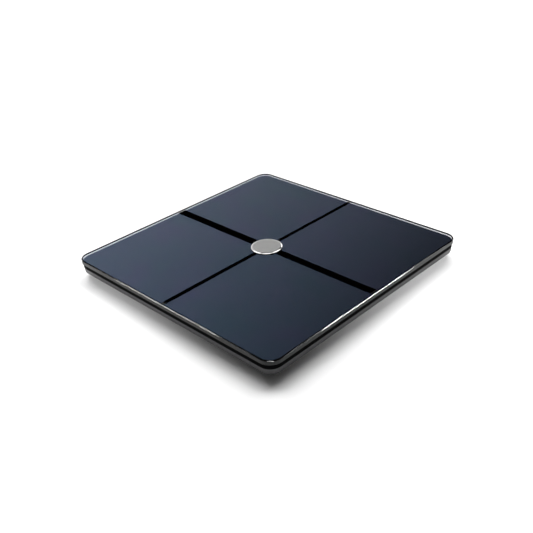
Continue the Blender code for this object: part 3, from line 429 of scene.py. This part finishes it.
def matching_circle(radius, ring, z):
    """A circle with a point in the direction of each of the ring's points."""
    return [Vector((p.x, p.y, 0)).normalized() * radius + Vector((0, 0, z)) for p in ring]


def looped_mesh(name, rings, slots):
    """A closed mesh from rings of equal length; slots gives the material of each band between them."""
    bm = bmesh.new()
    rows = [[bm.verts.new(point) for point in ring] for ring in rings]
    for row, after, slot in zip(rows, rows[1:] + rows[:1], slots):
        for i in range(len(row)):
            j = (i + 1) % len(row)
            face = bm.faces.new((row[i], row[j], after[j], after[i]))
            face.material_index = slot
            face.smooth = True
    bmesh.ops.recalc_face_normals(bm, faces=bm.faces)
    mesh = bpy.data.meshes.new(name)
    bm.to_mesh(mesh)
    bm.free()
    mesh.set_sharp_from_angle(angle=math.radians(25))
    return mesh


def turned_mesh(name, profile, slots, segments=128):
    """A closed turned mesh from a profile of (radius, z) that starts and ends on the axis."""
    bm = bmesh.new()
    rows = []
    for radius, z in profile:
        count = 1 if radius == 0 else segments
        angles = [2 * math.pi * i / segments for i in range(count)]
        rows.append([bm.verts.new((radius * math.cos(a), radius * math.sin(a), z)) for a in angles])
    for row, after, slot in zip(rows, rows[1:], slots):
        for i in range(segments):
            j = (i + 1) % segments
            corners = [row[i % len(row)], row[j % len(row)], after[j % len(after)], after[i % len(after)]]
            face = bm.faces.new(list(dict.fromkeys(corners)))
            face.material_index = slot
            face.smooth = True
    bmesh.ops.recalc_face_normals(bm, faces=bm.faces)
    mesh = bpy.data.meshes.new(name)
    bm.to_mesh(mesh)
    bm.free()
    mesh.set_sharp_from_angle(angle=math.radians(20))
    return mesh


def add_piece(name, mesh, materials, body, replaced=()):
    """Links a piece, gives it its materials and ties it to its body and the CAD nodes it stands for."""
    obj = bpy.data.objects.new(name, mesh)
    bpy.context.scene.collection.objects.link(obj)
    for material in materials:
        mesh.materials.append(material)
    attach(obj, body)
    if replaced:
        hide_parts(*replaced)
    return obj


# ---- Platform -----------------------------------------------------------------------------------
def glass_plate(glass, edge, ink, side):
    """The platform: polished slab with 45 degree chamfered arrises, its underside printed black inside a
    clear rim.
    """
    rings = []
    slots = []

    def add(ring, slot):
        rings.append(ring)
        slots.append(slot)

    for step in range(ARRIS_STEPS + 1):
        share = step / ARRIS_STEPS
        inset = GLASS_ARRIS * (1 - share)
        drop = GLASS_ARRIS * share
        z = GLASS_TOP - drop
        last = step == ARRIS_STEPS
        add(rounded_ring(GLASS_HALF - inset, GLASS_CORNER - inset, z), 3 if last else 1)
    for step in range(ARRIS_STEPS + 1):
        share = step / ARRIS_STEPS
        inset = GLASS_ARRIS * share
        z = GLASS_BOTTOM + GLASS_ARRIS * (1 - share)
        last = step == ARRIS_STEPS
        add(rounded_ring(GLASS_HALF - inset, GLASS_CORNER - inset, z), 0 if last else 2)
    ring = rounded_ring(GLASS_HALF - PRINT_MARGIN, GLASS_CORNER - PRINT_MARGIN, GLASS_BOTTOM)
    add(ring, 2)
    add(matching_circle(GLASS_HOLE, ring, GLASS_BOTTOM), 1)
    add(matching_circle(GLASS_HOLE, ring, GLASS_TOP), 0)
    mesh = looped_mesh("glass_plate", rings, slots)
    return add_piece("glass_plate", mesh, [glass, edge, ink, side], CASE, ["glass_platform"])


def gap_lines(ink):
    """The printed black lines: a thin cross that laps the four films' edges, open round the contact hole."""
    low = GLASS_TOP + INK_GAP
    high = FILM_HIGH.z + 3 * INK_GAP
    bm = bmesh.new()

    def arm(turn, half, start_angle):
        """One arm of the cross along its own +X, ending in the arc round the hole."""
        points = []
        steps = 6
        for step in range(steps + 1):
            angle = -start_angle + 2 * start_angle * step / steps
            points.append(Vector((LINE_HOLE * math.cos(angle), LINE_HOLE * math.sin(angle), 0)))
        points += [Vector((LINE_REACH, half, 0)), Vector((LINE_REACH, -half, 0))]
        spin = Matrix.Rotation(turn, 3, "Z")
        face = bm.faces.new([bm.verts.new(spin @ p + Vector((0, 0, low))) for p in points])
        grown = bmesh.ops.extrude_face_region(bm, geom=[face])["geom"]
        lifted = [part for part in grown if isinstance(part, bmesh.types.BMVert)]
        bmesh.ops.translate(bm, vec=(0, 0, high - low), verts=lifted)

    def print_and_shade_rim():
        """A fine black ring just inside the glass's edge: print along the front and left edges. Its extra
        width along the rear and right edges is painted shade, the dark line that the glass's edge shows there
        from the front left.
        """
        # The shift widens the ring along the rear and right edges: painted shade, not print.
        shift = Vector((PAINTED_SHADE_SHIFT, PAINTED_SHADE_SHIFT, 0))
        rows = []
        for inset, z, move in (
            (PRINT_AND_SHADE_RIM_OUTER, low, Vector()),
            (PRINT_AND_SHADE_RIM_OUTER, high, Vector()),
            (PRINT_AND_SHADE_RIM_INNER, high, shift),
            (PRINT_AND_SHADE_RIM_INNER, low, shift),
        ):
            ring = rounded_ring(GLASS_HALF - inset, GLASS_CORNER - inset, z)
            rows.append([bm.verts.new(point - move) for point in ring])
        for row, after in zip(rows, rows[1:] + rows[:1]):
            for i in range(len(row)):
                j = (i + 1) % len(row)
                bm.faces.new((row[i], row[j], after[j], after[i]))

    for turn, half in enumerate(LINE_HALVES):
        arm(turn * math.pi / 2, half, math.asin(half / LINE_HOLE))
    print_and_shade_rim()
    bmesh.ops.recalc_face_normals(bm, faces=bm.faces)
    mesh = bpy.data.meshes.new("gap_lines")
    bm.to_mesh(mesh)
    bm.free()
    return add_piece("gap_lines", mesh, [ink], CASE)


def walked(start, steps):
    """Points of a profile that goes outward and down from start, by steps of (length, tilt)."""
    points = [start]
    for length, tilt in steps:
        angle = math.radians(tilt)
        radius, z = points[-1]
        points.append((radius + length * math.cos(angle), z - length * math.sin(angle)))
    return points


def disc(face, rim):
    """The disc: a satin face, a fine groove, and a polished bevel with rounded edges."""
    top, bottom = DISC_HIGH.z, DISC_LOW.z
    inner = DISC_RADIUS - DISC_BEVEL
    face_edge = inner - 0.0003
    floor = top - DISC_GROOVE
    profile = [(0, top), (face_edge, top), (face_edge + 0.0001, floor), (inner - 0.0001, floor)]
    shoulder = [(0.00020, tilt) for tilt in (6, 10, 14, 18)]
    lip = [(0.00009, tilt) for tilt in (34, 48, 62, 76)]
    bevel = walked((inner, top), [*shoulder, (0.00090, DISC_TILT), *lip])
    spare = DISC_RADIUS - bevel[-1][0]
    profile += [(radius + spare * (radius - inner) / (bevel[-1][0] - inner), z) for radius, z in bevel]
    profile += [(DISC_RADIUS, bottom), (0, bottom)]
    slots = [0, 0, 0] + [1] * (len(profile) - 4)
    mesh = turned_mesh("disc", profile, slots)
    return add_piece("disc", mesh, [face, rim], CASE, ["centre_disc"])


# ---- Dressing the CAD nodes ---------------------------------------------------------------------
def dress(material, *names):
    for name in names:
        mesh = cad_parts[name].data
        mesh.materials.clear()
        mesh.materials.append(material)


def smoothing():
    """Node modifier that joins a CAD mesh's triangles and shades it smooth across shallow edges."""
    tree = bpy.data.node_groups.new("smoothing", "GeometryNodeTree")
    tree.interface.new_socket("Geometry", in_out="INPUT", socket_type="NodeSocketGeometry")
    tree.interface.new_socket("Geometry", in_out="OUTPUT", socket_type="NodeSocketGeometry")
    flow = tree.nodes.new("NodeGroupInput").outputs[0]

    def then(kind, **values):
        nonlocal flow
        made = tree.nodes.new(kind)
        for socket, value in values.items():
            made.inputs[socket.replace("_", " ")].default_value = value
        tree.links.new(flow, made.inputs[0])
        flow = made.outputs[0]
        return made

    for attribute in ("custom_normal", "sharp_face", "sharp_edge"):
        then("GeometryNodeRemoveAttribute", Name=attribute)
    then("GeometryNodeMergeByDistance", Distance=WELD)
    sharp = then("GeometryNodeSetShadeSmooth", Shade_Smooth=False)
    sharp.domain = "EDGE"
    angle = tree.nodes.new("GeometryNodeInputMeshEdgeAngle")
    steep = tree.nodes.new("FunctionNodeCompare")
    steep.operation = "GREATER_THAN"
    steep.inputs[1].default_value = math.radians(SMOOTH_ANGLE)
    tree.links.new(angle.outputs["Unsigned Angle"], steep.inputs[0])
    tree.links.new(steep.outputs[0], sharp.inputs["Selection"])
    tree.links.new(flow, tree.nodes.new("NodeGroupOutput").inputs[0])
    return tree


def smooth_nodes():
    tree = smoothing()
    for name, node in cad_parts.items():
        if name not in REPLACED_NODES:
            node.modifiers.new("smoothing", "NODES").node_group = tree


def at_corners(prefix):
    return [f"{prefix}_{corner}" for corner in CORNERS]


def dress_nodes():
    metal = steel()
    green = circuit_board()
    dress(electrode_film(), *at_corners("electrode"))
    dress(rubber(), *at_corners("foot_pad"), "disc_gasket")
    dress(foam_tape(), "glass_tape")
    black = moulded_plastic("black_plastic", (0.001, 0.001, 0.0011), (0.004, 0.004, 0.0045), 0.6, 0.8, 0.02)
    dress(black, "top_frame")
    foot_black = moulded_plastic("foot_plastic", (0.01, 0.01, 0.011), (0.025, 0.025, 0.026), 0.42, 0.6)
    dress(foot_black, *at_corners("foot_cap"))
    grey = moulded_plastic("grey_plastic", (0.042, 0.042, 0.044), (0.072, 0.072, 0.074), 0.34, 0.5)
    dress(grey, "bottom_shell", "battery_door", "unit_button")
    screws = [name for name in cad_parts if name.startswith("shell_screw")]
    contacts = ["contact_positive", "contact_negative", "contact_bridge_left", "contact_bridge_right"]
    dress(metal, *screws, *at_corners("load_cell"), "radio_module", *contacts)
    brass = steel("contact_metal", (0.78, 0.60, 0.34), (0.62, 0.46, 0.24), 0.2, 0.35)
    dress(brass, *at_corners("electrode_contact"))
    dress(green, "main_board", "display_board", "contact_board")
    dress(chip_plastic(), "main_chip", "unit_switch")
    dress(white_plastic(), "lead_connector", "display_reflector")
    dress(ribbon(), "display_ribbon", "electrode_lead")
    dress(diffuser(), "display_diffuser")
    dress(battery_can(), "battery_1", "battery_2", "battery_3")
    cell_leads = [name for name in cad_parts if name.startswith("load_cell_lead")]
    black_lead = insulation("lead_black", (0.008, 0.008, 0.008), (0.02, 0.02, 0.02))
    dress(black_lead, *cell_leads, "battery_lead_negative")
    dress(insulation("lead_red", (0.36, 0.012, 0.012), (0.5, 0.03, 0.025)), "battery_lead_positive")


# ---- Stage --------------------------------------------------------------------------------------
def add_floor():
    bm = bmesh.new()
    bmesh.ops.create_grid(bm, x_segments=4, y_segments=4, size=12.0)
    mesh = bpy.data.meshes.new("floor")
    bm.to_mesh(mesh)
    bm.free()
    floor = bpy.data.objects.new("floor", mesh)
    bpy.context.scene.collection.objects.link(floor)
    floor.location.z = CAD_BOX[0].z - 0.0001
    paper = Material("floor_paper", (0.88, 0.88, 0.88), 0.9, Specular_IOR_Level=0.0)
    paper.colour(paper.mix(paper.noise(0.5, 3.0), (0.875, 0.875, 0.875), (0.885, 0.885, 0.885)))
    mesh.materials.append(paper.material)


def add_world():
    """A dim studio that brightens towards the horizon behind the scale's rear left corner."""
    world = bpy.data.worlds.new("studio")
    bpy.context.scene.world = world
    world.use_nodes = True
    tree = world.node_tree
    background = tree.nodes["Background"]

    def maths(operation, *values):
        made = tree.nodes.new("ShaderNodeMath")
        made.operation = operation
        for index, value in enumerate(values):
            if isinstance(value, bpy.types.NodeSocket):
                tree.links.new(value, made.inputs[index])
            else:
                made.inputs[index].default_value = value
        return made.outputs[0]

    direction = tree.nodes.new("ShaderNodeTexCoord").outputs["Generated"]
    slope = tree.nodes.new("ShaderNodeVectorMath")
    slope.operation = "DOT_PRODUCT"
    tree.links.new(direction, slope.inputs[0])
    slope.inputs[1].default_value = WORLD_SLOPE
    glow = maths("ADD", slope.outputs["Value"], WORLD_BASE)
    glow = maths("MINIMUM", maths("MAXIMUM", glow, WORLD_LOW), WORLD_HIGH)
    behind = tree.nodes.new("ShaderNodeVectorMath")
    behind.operation = "DOT_PRODUCT"
    tree.links.new(direction, behind.inputs[0])
    behind.inputs[1].default_value = (math.sqrt(0.5), math.sqrt(0.5), 0.0)
    rear = tree.nodes.new("ShaderNodeMapRange")
    rear.interpolation_type = "SMOOTHSTEP"
    tree.links.new(behind.outputs["Value"], rear.inputs["Value"])
    for socket, number in (("From Min", 0.2), ("From Max", 0.72), ("To Min", WORLD_FRONT), ("To Max", 1.0)):
        rear.inputs[socket].default_value = number
    glow = maths("MULTIPLY", glow, rear.outputs["Result"])
    height = tree.nodes.new("ShaderNodeSeparateXYZ")
    tree.links.new(direction, height.inputs[0])
    horizon = tree.nodes.new("ShaderNodeMapRange")
    horizon.interpolation_type = "SMOOTHSTEP"
    tree.links.new(height.outputs["Z"], horizon.inputs["Value"])
    for socket, number in (("From Min", 0.10), ("From Max", 0.20), ("To Min", 1.0), ("To Max", 0.0)):
        horizon.inputs[socket].default_value = number
    band = horizon.outputs["Result"]
    rest = maths("MULTIPLY", glow, maths("SUBTRACT", 1.0, band))
    tree.links.new(maths("ADD", rest, band), background.inputs["Strength"])
    background.inputs["Color"].default_value = (1.0, 1.0, 1.0, 1.0)




def direction_to(azimuth, elevation):
    """Unit vector from the middle of the scale towards azimuth (from +X, turning to +Y) and elevation."""
    a, e = math.radians(azimuth), math.radians(elevation)
    return Vector((math.cos(a) * math.cos(e), math.sin(a) * math.cos(e), math.sin(e)))


def receivers(name, objects):
    """A collection for light linking; only its objects take a lamp's light."""
    made = bpy.data.collections.new(name)
    for obj in objects:
        made.objects.link(obj)
    return made


def add_lamp(name, kind, energy, towards, distance, lit):
    """A lamp that shines on the middle of the scale from a direction, on the lit collection only."""
    lamp = bpy.data.lights.new(name, kind)
    lamp.energy = energy
    obj = bpy.data.objects.new(name, lamp)
    bpy.context.scene.collection.objects.link(obj)
    obj.location = towards * distance + Vector((0, 0, GLASS_TOP))
    obj.rotation_euler = towards.to_track_quat("Z", "Y").to_euler()
    obj.visible_camera = False
    obj.light_linking.receiver_collection = lit
    return obj


def add_keys(lit):
    """Two lights and a very broad one from behind, whose shadows fall on the camera's side."""
    for azimuth in KEY_AZIMUTHS:
        towards = direction_to(azimuth, KEY_ELEVATION)
        key = add_lamp(f"key_{azimuth}", "SUN", KEY_STRENGTH, towards, SUN_DISTANCE, lit)
        key.data.angle = math.radians(KEY_ANGLE)
    sky = add_lamp("key_sky", "SUN", SKY_STRENGTH, direction_to(45, 42), SUN_DISTANCE, lit)
    sky.data.angle = math.radians(SKY_ANGLE)


def add_case_fill(lit):
    """A weak broad light from the camera's side, which only the case takes."""
    fill = add_lamp("case_fill", "SUN", CASE_FILL_STRENGTH, direction_to(-135, 30), SUN_DISTANCE, lit)
    fill.data.angle = math.radians(CASE_FILL_ANGLE)


def add_floor_spot(name, place, aim, energy, lit):
    """A soft spot that lifts the shadow beside a side corner."""
    towards = (Vector(place) - Vector(aim)).normalized()
    spot = add_lamp(name, "SPOT", energy, towards, 1.0, lit)
    spot.location = place
    spot.data.spot_size = math.radians(27)
    spot.data.spot_blend = 1.0
    spot.data.shadow_soft_size = 0.08


def camera_place():
    """The camera's axes and its place."""
    cos_e, sin_e = math.cos(CAMERA_ELEVATION), math.sin(CAMERA_ELEVATION)
    back = Vector((math.sin(CAMERA_AZIMUTH) * cos_e, -math.cos(CAMERA_AZIMUTH) * cos_e, sin_e))
    right = (-back).cross(Vector((0, 0, 1))).normalized()
    up = right.cross(-back)
    cos_r, sin_r = math.cos(CAMERA_ROLL), math.sin(CAMERA_ROLL)
    right, up = right * cos_r + up * sin_r, up * cos_r - right * sin_r
    centre = Vector((0, 0, GLASS_TOP))
    return right, up, back, centre + back * CAMERA_DISTANCE + right * CAMERA_RIGHT + up * CAMERA_UP


def glint(point, outward):
    """Where a far lamp stands that shows in the glass's 45 degree arris at a point."""
    normal = (Vector(outward) + Vector((0, 0, 1))).normalized()
    view = (camera_place()[3] - Vector(point)).normalized()
    mirrored = 2 * normal.dot(view) * normal - view
    return Vector(point) + mirrored * LAMP_DISTANCE


def add_strip(name, start, end, width, radiance, lit):
    """A long elliptical lamp between two places; its power follows from the radiance that it shows."""
    middle = (start + end) / 2
    length = (end - start).length
    breadth = 2 * LAMP_DISTANCE * math.tan(math.radians(width) / 2)
    strip = add_lamp(name, "AREA", radiance * math.pi * length * breadth, middle.normalized(), 1.0, lit)
    strip.location = middle
    strip.data.shape = "ELLIPSE"
    strip.data.size = length
    strip.data.size_y = breadth
    across = (end - start).normalized()
    facing = middle.normalized()
    facing = (facing - across * facing.dot(across)).normalized()
    strip.rotation_euler = Matrix((across, facing.cross(across), facing)).transposed().to_euler()


def add_edge_strips(lit):
    """Lamps that draw the bright line along each near edge: a strong stretch and a weak one."""
    edge = GLASS_HALF
    for side, stretch, radiance in (
        ("left", (-0.092, 0.088), 9.0),
        ("left", (-0.145, 0.145), 0.8),
        ("right", (-0.093, 0.068), 28.0),
        ("right", (-0.145, 0.145), 1.9),
    ):
        if side == "left":
            ends = [glint((-edge, along, GLASS_TOP), (-1, 0, 0)) for along in stretch]
        else:
            ends = [glint((along, -edge, GLASS_TOP), (0, -1, 0)) for along in stretch]
        add_strip(f"edge_{side}_{round(radiance)}", *ends, EDGE_STRIP_WIDTH, radiance, lit)
    corner = GLASS_HALF - GLASS_CORNER * (1 - math.sqrt(0.5))
    middle = glint((-corner, -corner, GLASS_TOP), (-math.sqrt(0.5), -math.sqrt(0.5), 0))
    across = Vector((CORNER_SPREAD, -CORNER_SPREAD, 0)) * LAMP_DISTANCE
    add_strip("corner", middle - across, middle + across, STRIP_WIDTH, CORNER_RADIANCE, lit)


def add_disc_lamps(lit):
    """Broad lamps that show in the disc's bevel at its left, its front and along its right."""
    for name, azimuth, elevation, size, radiance in (
        ("left", 88, 52, 2.0, 1.5),
        ("front", 49, 80, 2.0, 1.5),
        ("right", 3, 53, 2.0, 1.5),
        ("side", 21, 20, 1.6, 1.2),
    ):
        towards = direction_to(azimuth, elevation)
        energy = radiance * math.pi * size * size
        lamp = add_lamp(f"disc_{name}", "AREA", energy, towards, LAMP_DISTANCE, lit)
        lamp.data.shape = "DISK"
        lamp.data.size = size


def add_side_glow(shiny):
    """Large dim lamps that the films and the disc mirror in views from the other sides."""
    lit = receivers("shiny", shiny)
    size = 5.0
    power = 0.35 * math.pi * size * size
    for azimuth in (-45, -135, 135):
        glow = add_lamp(f"glow_{azimuth % 360}", "AREA", power, direction_to(azimuth, 32), LAMP_DISTANCE, lit)
        glow.data.shape = "DISK"
        glow.data.size = size


def add_lights(mirrors, button, case):
    others = [obj for obj in bpy.context.scene.objects if obj.type == "MESH" and obj not in mirrors]
    add_keys(receivers("matte", others))
    add_case_fill(receivers("case", case))
    floor = receivers("floor_only", [bpy.data.objects["floor"]])
    add_floor_spot("spot_left", (-0.75, 0.45, 0.55), (-0.25, 0.16, 0), 19.0, floor)
    add_floor_spot("spot_right", (0.45, -0.75, 0.55), (0.16, -0.25, 0), 30.0, floor)
    add_edge_strips(receivers("glossy", [obj for obj in mirrors if obj is not button]))
    add_disc_lamps(receivers("disc_only", [button]))
    add_side_glow([button, *[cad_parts[name] for name in at_corners("electrode")]])


def add_camera():
    """The photograph's view: round the middle of the glass's top face, rolled, then moved sideways."""
    right, up, back, place = camera_place()
    data = bpy.data.cameras.new("camera")
    data.lens = LENS
    data.sensor_width = SENSOR
    camera = bpy.data.objects.new("camera", data)
    bpy.context.scene.collection.objects.link(camera)
    camera.matrix_world = Matrix.Translation(place) @ Matrix((right, up, back)).transposed().to_4x4()
    bpy.context.scene.camera = camera


def main():
    add_camera()
    glass = glass_plate(clear_glass(), edge_glass(), black_print(), side_glass())
    lines = gap_lines(line_print())
    button = disc(satin_metal(), polished_metal())
    dress_nodes()
    smooth_nodes()
    films = [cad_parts[name] for name in at_corners("electrode")]
    add_floor()
    add_world()
    mirrors = [glass, lines, button, *films]
    add_lights(mirrors, button, [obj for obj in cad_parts.values() if obj not in mirrors])
    bpy.context.scene.view_settings.view_transform = "Standard"


main()
